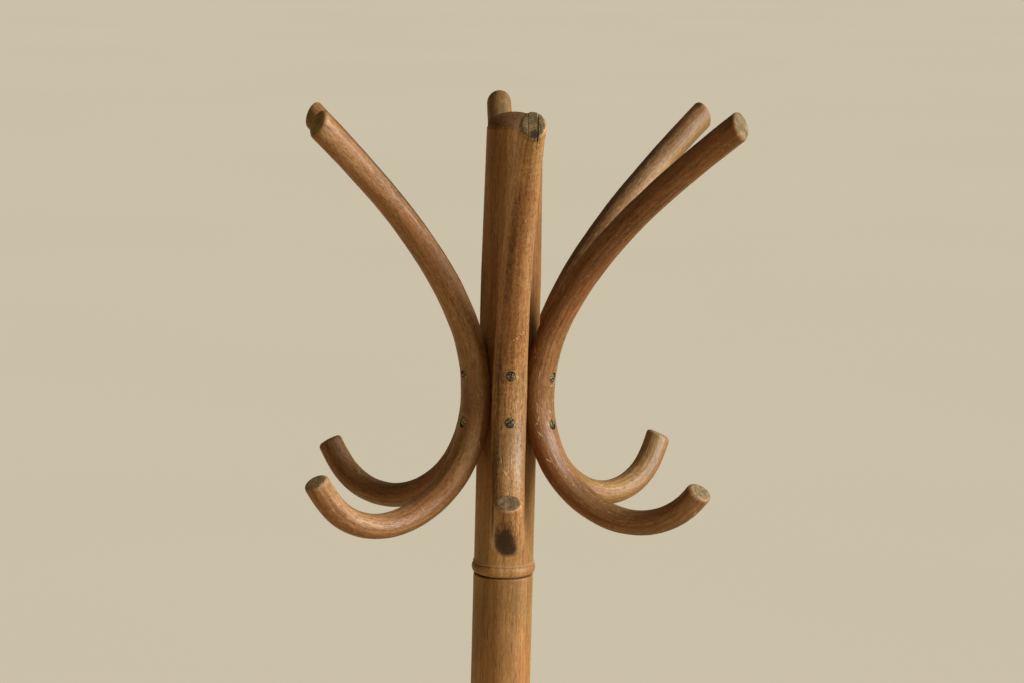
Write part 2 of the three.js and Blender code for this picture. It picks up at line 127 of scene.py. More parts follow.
LEGS = ["leg_front", "leg_right", "leg_back", "leg_left"]
LEG_MIDDLE = 0.310
LEG_SEAT_DEPTH = 0.004
LEG_UPPER_BENDS = [[0.030, 0], [0.140, 60], [0.140, -60], [0.045, 0]]
LEG_LOWER_BENDS = [[0.040, 0], [0.120, 60], [0.088, 0], [0.120, -45], [0.062, 0]]
LEG_ROD = [[-0.355, 0.013], [-0.120, 0.015], [0, 0.016], [0.180, 0.015], [0.420, 0.0135]]
RING_ROD = 0.010
RING_UNDER_LEG_END = 0.030
GLIDE_TOP = 0.0037
GLIDE_PIN_RADIUS = 0.0015
GLIDE_PIN_LENGTH = 0.014
GLIDE_ROUNDING = 0.0008

SPINDLE_CHAMFER = 0.0015
WASHER_ROUNDING = 0.0003

END_SOFTENING = 0.0036
MERGE = 1e-6  # points nearer than this are one point

# ---- Mesh ----


def piece_from(bm, name):
    """A linked object that holds the bmesh."""
    mesh = bpy.data.meshes.new(name)
    bm.to_mesh(mesh)
    bm.free()
    made = bpy.data.objects.new(name, mesh)
    bpy.context.scene.collection.objects.link(made)
    return made


def keep_grain(bm):
    """Stores where each corner stands in the straight timber."""
    grain = bm.loops.layers.float_vector.new("grain")
    for face in bm.faces:
        for loop in face.loops:
            loop[grain] = loop.vert.co


def smooth(piece, corner=32):
    """Smooth shading, with edges sharper than the corner angle left crisp."""
    piece.data.polygons.foreach_set("use_smooth", [True] * len(piece.data.polygons))
    piece.data.set_sharp_from_angle(angle=radians(corner))


def spin_round(bm, outline, steps):
    """Turns the outline once about Z."""
    axis = {"cent": (0, 0, 0), "axis": (0, 0, 1), "angle": 2 * pi}
    bmesh.ops.spin(bm, geom=outline, steps=steps, use_merge=True, **axis)


def turned(profile, sides):
    """A closed bmesh turned about Z from [radius, height] pairs that run from the axis back to the axis."""
    bm = bmesh.new()
    points = [bm.verts.new((radius, 0, height)) for radius, height in profile]
    edges = [bm.edges.new(pair) for pair in zip(points, points[1:])]
    spin_round(bm, points + edges, sides)
    bmesh.ops.remove_doubles(bm, verts=bm.verts, dist=MERGE)
    bmesh.ops.dissolve_degenerate(bm, edges=bm.edges, dist=MERGE)
    bmesh.ops.recalc_face_normals(bm, faces=bm.faces)
    return bm


def ringed(profile, step):
    """The same profile with its long straight stretches divided into steps."""
    fine = [profile[0]]
    for here, there in zip(profile, profile[1:]):
        pieces = max(1, round(abs(there[1] - here[1]) / step)) if here[0] and there[0] else 1
        for i in range(1, pieces + 1):
            share = i / pieces
            fine.append([here[0] + (there[0] - here[0]) * share, here[1] + (there[1] - here[1]) * share])
    return fine


def cut(piece, tools):
    """Takes the tools out of the piece and throws them away."""
    bin_of_tools = bpy.data.collections.new("tools")
    for tool in tools:
        bin_of_tools.objects.link(tool)
    boolean = piece.modifiers.new("cut", "BOOLEAN")
    boolean.operation = "DIFFERENCE"
    boolean.solver = "MANIFOLD"
    boolean.operand_type = "COLLECTION"
    boolean.collection = bin_of_tools
    boolean.material_mode = "TRANSFER"
    shown = piece.evaluated_get(bpy.context.evaluated_depsgraph_get())
    piece.data = bpy.data.meshes.new_from_object(shown)
    piece.modifiers.clear()
    bpy.data.collections.remove(bin_of_tools)
    for tool in tools:
        bpy.data.objects.remove(tool)


def tool_from(bm, place, finish=None):
    """A cutting tool: its cut faces take the finish."""
    bm.transform(place)
    tool = piece_from(bm, "tool")
    if finish:
        tool.data.materials.append(finish)
    return tool


def finished(piece, node, body):
    """Puts the piece on its body in place of its CAD node."""
    piece.name = "finished_" + node
    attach(piece, body)
    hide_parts(node)


# ---- Bent rods ----

LINE_STEP = 0.001


def heading_at(bends, lean, spring, distance):
    """Which way an arm points at a distance from its screws, in degrees outwards from the post."""
    heading, left = lean, distance
    for i, (length, degrees) in enumerate(bends):
        run = left if i == len(bends) - 1 else min(left, length)
        heading += degrees * spring * run / length
        left -= run
    return heading


def arm_line(bends, lean, stray, out):
    """One arm's centre line from its screws: rows of distance, out, up, aside and heading in degrees."""
    spring, spare, drift = stray
    length = sum(bend[0] for bend in bends) + spare
    steps = round(length / LINE_STEP)
    step = length / steps
    rows = [[0, out, 0, 0, lean]]
    for i in range(1, steps + 1):
        middle = radians(heading_at(bends, lean, spring, (i - 0.5) * step))
        _, x, z, _, _ = rows[-1]
        aside = drift * (i / steps) ** 2
        heading = heading_at(bends, lean, spring, i * step)
        rows.append([i * step, x + sin(middle) * step, z + cos(middle) * step, aside, heading])
    return np.array(rows)


def rod_line(upper_bends, upper, lower_bends, lower, lean, out):
    """The whole centre line, upper end first: columns along (negative above), out, up, aside, heading."""
    above = arm_line(upper_bends, lean, upper, out) * [-1, 1, 1, 1, 1]
    below = arm_line(lower_bends, -lean, lower, out) * [1, 1, -1, 1, -1]
    line = np.vstack([above[::-1], below[1:]])
    line[:, 4] = np.radians(line[:, 4])
    return line


def width_table(pairs):
    """Places and values of a size that changes along a rod."""
    return np.array(sorted(pairs)).T


CAP_RINGS = 4
CAP_RING_SHARE = 0.17
ROUNDING_STEPS = 5


def straight_rod(start, end, radius, sides, ring_step):
    """A round rod along Z with softened sawn ends, divided so that it can be bent."""
    bm = bmesh.new()
    middle = Matrix.Translation((0, 0, (start + end) / 2))
    bmesh.ops.create_cone(
        bm, cap_ends=True, segments=sides, radius1=radius, radius2=radius, depth=end - start, matrix=middle
    )
    rims = [edge for edge in bm.edges if abs(edge.verts[0].co.z - edge.verts[1].co.z) < radius]
    rounding = {"offset": END_SOFTENING, "offset_type": "OFFSET", "segments": ROUNDING_STEPS}
    bmesh.ops.bevel(bm, geom=rims, profile=0.5, affect="EDGES", material=-1, **rounding)
    caps = [face for face in bm.faces if len(face.verts) > 4]
    for _ in range(CAP_RINGS):
        bmesh.ops.inset_individual(bm, faces=caps, thickness=radius * CAP_RING_SHARE)
    bmesh.ops.poke(bm, faces=caps)
    long_edges = [edge for edge in bm.edges if edge.calc_length() > (end - start) / 2]
    bmesh.ops.subdivide_edges(bm, edges=long_edges, cuts=round((end - start) / ring_step) - 1)
    return bm


def rod_piece(name, line, radius, sides, ring_step, finishes):
    """A straight rod as long as its line, with one finish along it and the other on its sawn ends."""
    bm = straight_rod(line[0, 0], line[-1, 0], radius, sides, ring_step)
    keep_grain(bm)
    for face in bm.faces:
        face.material_index = 1 if abs(face.normal.z) > 0.8 else 0
    piece = piece_from(bm, name)
    for finish in finishes:
        piece.data.materials.append(finish)
    return piece


# Times round the rod and length in metres of each slow wave in its surface, and how deep they go together
WAVES = [(1, 0.13), (2, 0.075), (3, 0.05), (2, 0.031)]
UNEVENNESS = 0.013


def waviness(places, seed):
    """A slow, slight unevenness left by the spokeshave, between -1 and 1."""
    rng = random.Random(seed)
    total = np.zeros(len(places))
    around = np.arctan2(places[:, 1], places[:, 0])
    for turns, length in WAVES:
        phase, lean = rng.uniform(0, 2 * pi), rng.uniform(0.7, 1.4)
        total += np.sin(turns * around + phase + lean * 2 * pi * places[:, 2] / length)
    return total / len(WAVES)


def bend(piece, line, radius, thickness, width, saw, seed):
    """Bends a straight rod along its line. Y of the rod faces away from the post, X faces sideways."""
    mesh = piece.data
    flat = np.empty(len(mesh.vertices) * 3)
    mesh.vertices.foreach_get("co", flat)
    rod = flat.reshape(-1, 3)
    z = rod[:, 2]
    start = line[0, 0]
    uneven = 1 + UNEVENNESS * waviness(rod, seed)
    thick = rod[:, 1] / radius * np.interp(z, *thickness) * uneven
    wide = rod[:, 0] / radius * np.interp(z, *width) * uneven
    fade = np.clip(1 - (z - start) / SAW_REACH, 0, 1)
    along = z + fade * thick * tan(radians(saw))
    out, up, aside, heading = [np.interp(along, line[:, 0], line[:, i]) for i in (1, 2, 3, 4)]
    over = np.minimum(along - start, 0)  # past the end of the line it runs on straight
    out -= over * np.sin(heading)
    up -= over * np.cos(heading)
    bent = np.stack([out + np.cos(heading) * thick, aside + wide, up - np.sin(heading) * thick], axis=1)
    mesh.vertices.foreach_set("co", bent.ravel())
    mesh.update()


def outer_face(line, thickness, up):
    """How far out the rod's outer face stands at a height from its screws."""
    near = line[np.abs(line[:, 0]) < 0.08][::-1]
    along, out, heading = [np.interp(up, near[:, 2], near[:, i]) for i in (0, 1, 4)]
    return out + np.interp(along, *thickness) / cos(heading)


# ---- Screws ----


def along_x(face, depth, height):
    """Lays a turned piece along X, its foot towards the axis and its top at the face."""
    return Matrix.Translation((face - depth, 0, height)) @ Matrix.Rotation(pi / 2, 4, "Y")


def wood_screw(screw, place, slot_turn):
    """A slotted countersunk wood screw, its rim worn round, its slot at its own angle."""
    length, head, shank = screw["length"], screw["head"], screw["shank"]
    rim = SCREW_RIM
    profile = [
        [0, 0],
        [SCREW_TIP, 0],
        [shank * 0.8, length * 0.12],
        [shank, length * 0.3],
        [shank, length - (head - shank) - rim],
        [head - rim * 0.2, length - rim],
        [head, length - rim * 0.7],
        [head - rim * 0.2, length - rim * 0.2],
        [head - rim, length],
        [head * 0.5, length + SCREW_DOME],
        [0, length + SCREW_DOME],
    ]
    bm = turned(profile, 48)
    keep_grain(bm)
    bm.transform(place)
    piece = piece_from(bm, "screw")
    piece.data.materials.append(SCREW_STEEL)
    groove = bmesh.new()
    bmesh.ops.create_cube(groove, size=1)
    groove.transform(Matrix.Diagonal((screw["slot"], head * 3, screw["slot"] * 2, 1)))
    turn = Matrix.Rotation(radians(slot_turn), 4, "Z")
    # The slot is lined with dark dirt and painted shade.
    cut(piece, [tool_from(groove, place @ Matrix.Translation((0, 0, length)) @ turn, CREVICE_DIRT_AND_SHADE)])
    smooth(piece)
    return piece


def screw_hole(screw, place, finish):
    """The hole a screw needs, with a countersink open to the outside: its faces take the finish."""
    head, shank, room = screw["head"], screw["shank"], COUNTERSINK_ROOM
    top = screw["length"] + 0.0002
    profile = [
        [0, -FIT_GAP],
        [SCREW_TIP + FIT_GAP, -FIT_GAP],
        [shank + FIT_GAP, screw["length"] * 0.3],
        [shank + FIT_GAP, top - (head - shank) - room],
        [head + room * 0.8, top],
        [head + room * 1.5, top + 0.0006],
        [head + room * 1.5, top + head],
        [0, top + head],
    ]
    return tool_from(turned(profile, 40), place, finish)


def drive(name, screw, place, slot_turn, body, holes):
    """Puts one screw in, and its hole among the tools of each piece it goes through."""
    for tools, finish in holes:
        tools.append(screw_hole(screw, place, finish))
    finished(wood_screw(screw, place, slot_turn), name, body)


# ---- Finishes ----


def linear(red, green, blue):
    """A colour given as a paint chart gives it, 0 to 255, in scene light."""
    channels = [value / 255 for value in (red, green, blue)]
    light = [c / 12.92 if c <= 0.04045 else ((c + 0.055) / 1.055) ** 2.4 for c in channels]
    return (*light, 1)


class Nodes:
    """A material's nodes, made one from another."""

    def __init__(self, name):
        self.material = bpy.data.materials.new(name)
        self.material.use_nodes = True
        self.tree = self.material.node_tree
        self.shader = self.tree.nodes["Principled BSDF"]

    def add(self, kind, inputs, **settings):
        """A node with its settings, its input sockets given by name or number."""
        made = self.tree.nodes.new("ShaderNode" + kind)
        for key, value in settings.items():
            setattr(made, key, value)
        for key, value in inputs.items():
            if isinstance(value, bpy.types.NodeSocket):
                self.tree.links.new(value, made.inputs[key])
            else:
                made.inputs[key].default_value = value
        return made

    def attribute(self, name):
        return self.add("Attribute", {}, attribute_name=name)

    def stretched(self, vector, scale, shift=(0, 0, 0)):
        return self.add("Mapping", {"Vector": vector, "Scale": scale, "Location": shift}).outputs[0]

    def noise(self, vector, scale, detail=3, rough=0.55, distortion=0):
        sockets = {"Vector": vector, "Scale": scale, "Detail": detail, "Roughness": rough}
        return self.add("TexNoise", sockets | {"Distortion": distortion}).outputs["Fac"]

    def growth_rings(self, vector, scale, distortion, detail_scale):
        sockets = {"Vector": vector, "Scale": scale, "Distortion": distortion, "Detail": 3}
        sockets["Detail Scale"] = detail_scale
        return self.add("TexWave", sockets, wave_type="RINGS", rings_direction="Z").outputs["Fac"]

    def spread(self, value, low, high, to_low=0, to_high=1):
        """The value with low to high stretched to the new range, and held there."""
        sockets = {"Value": value, "From Min": low, "From Max": high, "To Min": to_low, "To Max": to_high}
        return self.add("MapRange", sockets, clamp=True).outputs[0]

    def maths(self, operation, first, second):
        return self.add("Math", {0: first, 1: second}, operation=operation).outputs[0]

    def weighted(self, shares):
        """The sum of several values, each times its share."""
        total = 0.0
        for value, share in shares:
            total = self.add("Math", {0: value, 1: share, 2: total}, operation="MULTIPLY_ADD").outputs[0]
        return total

    def ramp(self, value, stops):
        """Colours at places from 0 to 1."""
        made = self.add("ValToRGB", {"Fac": value})
        elements = made.color_ramp.elements
        while len(elements) < len(stops):
            elements.new(0.5)
        for element, (place, colour) in zip(elements, stops):
            element.position = place
            element.color = colour
        return made.outputs["Color"]

    def blend(self, share, first, second):
        """The second colour laid over the first."""
        return self.add("Mix", {0: share, 6: first, 7: second}, data_type="RGBA").outputs[2]

    def worn(self, mark, ragged, raggedness, low, high, strength):
        """How strongly a mark shows once the grain has torn its edge."""
        torn = self.maths("ADD", mark, self.maths("MULTIPLY", ragged, raggedness))
        return self.maths("MULTIPLY", self.spread(torn, low, high), strength)

    def set(self, **sockets):
        """Sets or links the shader's sockets: an underscore stands for a space."""
        for key, value in sockets.items():
            socket = self.shader.inputs[key.replace("_", " ")]
            if isinstance(value, bpy.types.NodeSocket):
                self.tree.links.new(value, socket)
            else:
                socket.default_value = value

    def bump(self, height, strength, distance):
        sockets = {"Height": height, "Strength": strength, "Distance": distance}
        self.set(Normal=self.add("Bump", sockets).outputs[0])


RED_HEART = linear(136, 74, 34)
OLIVE_CAST = linear(104, 80, 42)
PORE = linear(60, 34, 14)
PALE_FLECK_AND_GLINT = linear(190, 154, 112)
RUBBED_WOOD_AND_HIGHLIGHT = linear(184, 150, 108)
DARK_STAIN_AND_SHADE = linear(38, 20, 7)
SCRATCHED_WOOD = linear(214, 184, 146)
RUBBED_END = linear(178, 150, 112)
END_DIRT_AND_SHADE = linear(40, 27, 15)


def timber(name, shift):
    """A wooden material: its nodes, its place in the straight timber, the same shifted, and its marks."""
    wood = Nodes(name)
    straight = wood.attribute("grain").outputs["Vector"]
    grain = wood.stretched(straight, (1, 1, 1), (shift, shift * 0.7, shift))
    marks = wood.add("SeparateXYZ", {0: wood.attribute("marks").outputs["Vector"]}).outputs
    return wood, straight, grain, marks


def aged_beech(name, tones, shift, crinkle=0.25, flecks=0.5, foot_tones=None):
    """Beech under stain and worn satin varnish: fine streaks, pores, pale flecks and painted glints,
    crinkles, stains and painted shade, and rubbed places with a painted highlight on the head post's quirk.

    tones are the darkest, middle and lightest colours of the figure, and shift picks another timber.
    foot_tones are the colours the figure turns to towards a post's foot, lighter and more golden.
    """
    wood, straight, grain, marks = timber(name, shift)

    def streaks(length, *noise, shift=(0, 0, 0)):
        """Noise along the grain: the smaller the length given, the longer its streaks."""
        return wood.noise(wood.stretched(grain, (1, 1, length), shift), *noise)

    broad = streaks(0.14, 62, 3, 0.55, 0.3)
    streak = streaks(0.05, 430, 4, 0.65)
    fibre = streaks(0.085, 1150, 3, 0.7)
    mottle = streaks(0.42, 640, 3, 0.65, 0.5)
    ripple = wood.noise(wood.stretched(grain, (0.3, 0.3, 1)), 300, 3, 0.6, 0.8)
    rings = wood.growth_rings(wood.stretched(grain, (1, 1, 0.05), (0.045, 0.03, 0)), 70, 3.5, 1.6)

    shares = [(broad, 0.24), (streak, 0.24), (fibre, 0.26), (rings, 0.045)]
    shares += [(mottle, 0.10 + 0.26 * crinkle), (ripple, 0.16 * crinkle)]
    value = wood.weighted(shares)
    middle_value = sum(share for _, share in shares) / 2
    figure = wood.spread(value, middle_value - 0.125, middle_value + 0.125)
    places = [0.0, 0.5, 1.0]
    colour = wood.ramp(figure, [(place, linear(*tone)) for place, tone in zip(places, tones)])
    if foot_tones:
        height = wood.add("SeparateXYZ", {0: straight}).outputs["Z"]
        cloudy = wood.maths("ADD", height, wood.maths("MULTIPLY", broad, 0.12))
        foot = wood.spread(cloudy, HEAD_FOOT + 0.30, HEAD_FOOT + 0.10)
        honey = wood.ramp(figure, [(place, linear(*tone)) for place, tone in zip(places, foot_tones)])
        colour = wood.blend(foot, colour, honey)

    red_patch = streaks(0.3, 30, 2, 0.5)
    reddish = wood.maths("MULTIPLY", wood.spread(red_patch, 0.46, 0.64), 0.42)
    colour = wood.blend(reddish, colour, RED_HEART)
    olive_patch = streaks(0.25, 34, 2, 0.5, shift=(3, 1, 2))
    olive = wood.maths("MULTIPLY", wood.spread(olive_patch, 0.5, 0.68), 0.5)
    colour = wood.blend(olive, colour, OLIVE_CAST)

    pores = streaks(0.15, 1050, 2, 0.5)
    dashes = streaks(0.13, 560, 2, 0.4)
    pore = wood.maths("MAXIMUM", wood.spread(pores, 0.60, 0.70), wood.spread(dashes, 0.64, 0.72))
    pore = wood.maths("MULTIPLY", pore, flecks)
    colour = wood.blend(wood.maths("MULTIPLY", pore, 0.75), colour, PORE)
    # Pale flecks along the grain: partly the beech's own flecks, partly painted glints.
    glints = streaks(0.2, 900, 2, 0.5, shift=(7, 2, 5))
    glint = wood.spread(glints, 0.63, 0.72, 0, 0.45)
    colour = wood.blend(glint, colour, PALE_FLECK_AND_GLINT)

    torn = streaks(0.25, 620, 4, 0.75)
    ragged = wood.maths("SUBTRACT", torn, 0.5)
    # Rubbed wear, and on the head post's quirk a painted highlight.
    rubbed = wood.worn(marks["X"], ragged, 1.5, 0.25, 1.0, 0.7)
    colour = wood.blend(rubbed, colour, RUBBED_WOOD_AND_HIGHLIGHT)
    # The Y marks lay stains and painted shade in one dark colour.
    stain_and_shade = wood.worn(marks["Y"], ragged, 1.2, 0.2, 0.85, 0.9)
    colour = wood.blend(stain_and_shade, colour, DARK_STAIN_AND_SHADE)
    scratch = wood.worn(marks["Z"], ragged, 1.6, 0.4, 0.85, 0.8)
    colour = wood.blend(scratch, colour, SCRATCHED_WOOD)

    sheen = streaks(0.2, 150, 3, 0.6)
    gloss = wood.spread(sheen, 0.3, 0.7, 0.36, 0.54)
    dull = wood.maths("MAXIMUM", rubbed, wood.maths("MAXIMUM", scratch, pore))
    gloss = wood.maths("ADD", gloss, wood.maths("MULTIPLY", dull, 0.2))
    gloss = wood.maths("ADD", gloss, wood.maths("MULTIPLY", stain_and_shade, 0.3))
    wood.set(Base_Color=colour, Roughness=gloss, Specular_IOR_Level=0.42)
    relief = wood.weighted([(fibre, 0.45), (streak, 0.4), (mottle, 0.5), (ripple, 0.35 * crinkle)])
    relief = wood.maths("SUBTRACT", relief, wood.maths("MULTIPLY", dull, 0.4))
    wood.bump(relief, 0.75, 0.0006)
    return wood.material


def sawn_end(name, tones, shift, saw_angle=20):
    """End grain, grey-brown with old dirt: growth rings in arcs, fine saw lines and a rubbed rim."""
    wood, _, grain, marks = timber(name, shift)
    rings = wood.growth_rings(wood.stretched(grain, (1, 1, 0.2), (0.02, 0.05, 0)), 150, 3, 2)
    turn = wood.add("Mapping", {"Vector": grain, "Rotation": (0, 0, radians(saw_angle))}).outputs[0]
    kerf = wood.noise(wood.stretched(turn, (1, 0.1, 1)), 900, 3, 0.7)
    dirt = wood.noise(grain, 210, 4, 0.65)
    value = wood.weighted([(rings, 0.10), (kerf, 0.45), (dirt, 0.45)])
    dark, middle, light = [linear(*tone) for tone in tones]
    colour = wood.ramp(wood.spread(value, 0.36, 0.64), [(0, dark), (0.5, middle), (1, light)])
    ragged = wood.maths("SUBTRACT", dirt, 0.5)
    colour = wood.blend(wood.worn(marks["X"], ragged, 2.4, 0.45, 1.0, 0.6), colour, RUBBED_END)
    # On the ends the Y marks give dirt, and painted shade where the upper arm's darkened side runs onto
    # them.
    colour = wood.blend(wood.worn(marks["Y"], ragged, 1.6, 0.3, 0.8, 0.85), colour, END_DIRT_AND_SHADE)
    wood.set(Base_Color=colour, Roughness=0.78, Specular_IOR_Level=0.25)
    wood.bump(wood.maths("ADD", kerf, dirt), 0.6, 0.0006)
    return wood.material


def crevice_dirt_and_shade():
    """The black-brown inside of cracks, screw slots and hook screw holes: partly old dirt, partly painted
    shade.
    """
    dirt = Nodes("crevice_dirt_and_shade")
    crumbs = dirt.noise(dirt.add("TexCoord", {}).outputs["Object"], 1500, 2, 0.6)
    colour = dirt.ramp(crumbs, [(0.3, linear(22, 14, 8)), (0.7, linear(46, 31, 18))])
    dirt.set(Base_Color=colour, Roughness=0.95)
    dirt.bump(crumbs, 0.3, 0.0003)
    return dirt.material


def bare_beech():
    """Unstained wood that the countersinks cut open, with a little dirt in it."""
    wood = Nodes("bare_beech")
    place = wood.add("TexCoord", {}).outputs["Object"]
    dirt = wood.noise(place, 900, 3, 0.6)
    colour = wood.ramp(dirt, [(0.35, linear(92, 62, 36)), (0.6, linear(176, 136, 92))])
    wood.set(Base_Color=colour, Roughness=0.75)
    wood.bump(dirt, 0.4, 0.0003)
    return wood.material


def old_screw_steel():
    """Darkened steel, brown with age in the low places and rubbed bright on the head."""
    steel = Nodes("old_screw_steel")
    place = steel.attribute("grain").outputs["Vector"]
    age = steel.noise(place, 700, 4, 0.65)
    fine = steel.noise(place, 3500, 2, 0.6)
    rust, plain, bright = linear(50, 42, 30), linear(106, 94, 68), linear(216, 208, 180)
    colour = steel.ramp(age, [(0.3, rust), (0.5, plain), (0.68, bright)])
    gloss = steel.spread(age, 0.35, 0.65, 0.62, 0.34)
    steel.set(Base_Color=colour, Metallic=0.85, Roughness=gloss, Specular_IOR_Level=0.5)
    steel.bump(fine, 0.35, 0.0002)
    return steel.material


def turned_steel():
    """Plain turned steel with fine lathe rings and a film of grease."""
    steel = Nodes("turned_steel")
    place = steel.attribute("grain").outputs["Vector"]
    lathe = steel.noise(steel.stretched(place, (0.02, 0.02, 1)), 4200, 2, 0.6)
    smear = steel.noise(place, 120, 3, 0.6)
    colour = steel.ramp(smear, [(0.3, linear(108, 104, 98)), (0.7, linear(168, 164, 156))])
    steel.set(Base_Color=colour, Metallic=1.0, Roughness=steel.spread(smear, 0.3, 0.7, 0.28, 0.5))
    steel.bump(lathe, 0.2, 0.0001)
    return steel.material


def moulded_nylon():
    """Dark nylon, scuffed grey where it slides."""
    nylon = Nodes("moulded_nylon")
    place = nylon.attribute("grain").outputs["Vector"]
    scuff = nylon.noise(nylon.stretched(place, (1, 0.3, 1)), 900, 4, 0.7)
    colour = nylon.ramp(scuff, [(0.45, linear(44, 40, 36)), (0.75, linear(84, 78, 70))])
    nylon.set(Base_Color=colour, Roughness=nylon.spread(scuff, 0.3, 0.7, 0.42, 0.66))
    nylon.bump(scuff, 0.25, 0.0002)
    return nylon.material


SCREW_STEEL = old_screw_steel()
SPINDLE_STEEL = turned_steel()
NYLON = moulded_nylon()
BARE_BEECH = bare_beech()
CREVICE_DIRT_AND_SHADE = crevice_dirt_and_shade()
LEG_BEECH = aged_beech("leg_beech", [(98, 64, 34), (140, 98, 56), (174, 132, 86)], 17.1)
LEG_SAWN_END = sawn_end("leg_sawn_end", [(58, 46, 28), (98, 80, 52), (140, 118, 84)], 17.1)

# Each hook's own timber: darkest, middle and lightest tones, crinkle and flecks, then the tones of its ends
HOOK_TIMBER = {
    "hook_front": [
        [(106, 68, 34), (166, 120, 72), (206, 166, 118)],
        [0.9, 0.8],
        [(70, 56, 34), (106, 86, 56), (142, 120, 86)],
    ],
    "hook_front_right": [
        [(76, 46, 22), (122, 80, 42), (162, 118, 72)],
        [0.35, 0.6],
        [(82, 68, 44), (122, 102, 72), (168, 148, 114)],
    ],
    "hook_back_right": [
        [(98, 68, 34), (146, 110, 66), (184, 150, 104)],
        [0.5, 0.5],
        [(84, 70, 46), (126, 108, 78), (164, 146, 114)],
    ],
    "hook_back": [
        [(92, 66, 34), (138, 104, 60), (172, 136, 88)],
        [0.5, 0.5],
        [(70, 54, 32), (108, 88, 58), (146, 124, 90)],
    ],
    "hook_back_left": [
        [(88, 60, 32), (132, 96, 56), (168, 128, 82)],
        [0.4, 0.9],
        [(66, 54, 34), (98, 82, 54), (132, 114, 82)],
    ],
    "hook_front_left": [
        [(90, 58, 30), (146, 103, 60), (186, 148, 102)],
        [0.55, 0.7],
        [(98, 80, 50), (138, 116, 78), (172, 148, 108)],
    ],
}

# ---- Marks of use, painted shade and painted highlights ----


def grain_of(mesh):
    """Where each corner stands in the straight timber, as rows of x, y, z."""
    rows = np.empty(len(mesh.loops) * 3, np.float32)
    mesh.attributes["grain"].data.foreach_get("vector", rows)
    return rows.reshape(-1, 3)


def store_marks(mesh, rubbed, stain_and_shade, scratched):
    """Stores each corner's marks for its finish: X wear and painted highlight, Y stains and painted shade,
    Z scratches.
    """
    marks = mesh.attributes.new("marks", "FLOAT_VECTOR", "CORNER")
    rows = np.stack([rubbed, stain_and_shade, scratched], axis=1).astype(np.float32)
    marks.data.foreach_set("vector", rows.ravel())


def stroke(x, y, start, end, width):
    """How strongly each point lies on a stroke from start to end, both (x, y): 1 on it, 0 a width away."""
    run_x, run_y = end[0] - start[0], end[1] - start[1]
    share = ((x - start[0]) * run_x + (y - start[1]) * run_y) / (run_x**2 + run_y**2)
    share = np.clip(share, 0, 1)
    away = np.hypot(x - start[0] - share * run_x, y - start[1] - share * run_y)
    return np.clip(1 - away / width, 0, 1)


SCRATCH_WIDTH = 0.0012


def scattered_strokes(along, round_rod, start, end, girth, count, seed):
    """Short scratches at all angles over a stretch of rod."""
    rng = random.Random(seed)
    total = np.zeros(len(along))
    for _ in range(count):
        place = (rng.uniform(start, end), rng.uniform(-girth / 2, girth / 2))
        lean, length = rng.gauss(0, 0.9), rng.uniform(0.003, 0.014)
        tip = (place[0] + cos(lean) * length, place[1] + sin(lean) * length)
        near = (np.abs(along - place[0]) < 0.02) & (np.abs(round_rod - place[1]) < 0.02)
        strength = rng.uniform(0.35, 0.9)
        hit = stroke(along[near], round_rod[near], place, tip, SCRATCH_WIDTH) * strength
        total[near] = np.maximum(total[near], hit)
    return total


def bell(distance, width):
    """1 where the distance is nothing, falling softly to nothing over about two widths."""
    return np.exp(-((distance / width) ** 2))


# Marks that one hook has and the others don't, placed on its straight rod in metres, along from its screws
# and round from its outer face. Stains and patches of painted shade are [along, round, half length, half
# width, strength] and a scratch is [along, round, end along, end round, width, strength].
STAINS_AND_SHADE = {
    "hook_front": [
        [0.216, -0.0378, 0.019, 0.0056, 1.5],
        [0.203, -0.0378, 0.010, 0.0075, 1.3],
        # The next four darken the front hook's left side, away from the light: partly stain, partly painted
        # shade.
        [0.216, -0.0285, 0.020, 0.0050, 0.7],
        [-0.160, -0.0065, 0.090, 0.0045, 0.62],
        [-0.020, -0.0105, 0.055, 0.0050, 0.55],
        [0.075, -0.0110, 0.050, 0.0045, 0.48],
    ],
    "hook_front_right": [[-0.200, -0.008, 0.060, 0.010, 0.35], [0.160, 0.020, 0.050, 0.008, 0.40]],
    "hook_front_left": [[-0.285, 0.000, 0.012, 0.012, 0.40], [0.150, 0.010, 0.040, 0.008, 0.30]],
    "hook_back_left": [[0.200, 0.030, 0.020, 0.010, 0.50]],
}
SMUDGE_REACH = 0.004
# Smudges on the upper sawn end: [sideways, outwards, half width, strength]
END_SMUDGES = {"hook_front": [[0.001, 0.0085, 0.0042, 1.1]]}
SCRATCHES = {
    "hook_front": [
        [0.052, -0.0065, 0.063, -0.0050, 0.0011, 0.9],
        [0.070, -0.0040, 0.074, -0.0015, 0.0012, 0.9],
        [0.074, -0.0015, 0.078, -0.0012, 0.0010, 0.7],
        [0.058, 0.0020, 0.064, 0.0021, 0.0009, 0.7],
    ],
    "hook_front_right": [
        [0.008, -0.0135, 0.021, -0.0125, 0.0010, 0.9],
        [0.022, -0.0115, 0.028, -0.0140, 0.0012, 1.0],
        [0.028, -0.0140, 0.029, -0.0165, 0.0010, 0.8],
        [0.036, -0.0150, 0.041, -0.0120, 0.0012, 0.9],
        [-0.022, -0.0130, -0.006, -0.0128, 0.0009, 0.7],
        [0.062, -0.0160, 0.066, -0.0130, 0.0014, 0.9],
    ],
}


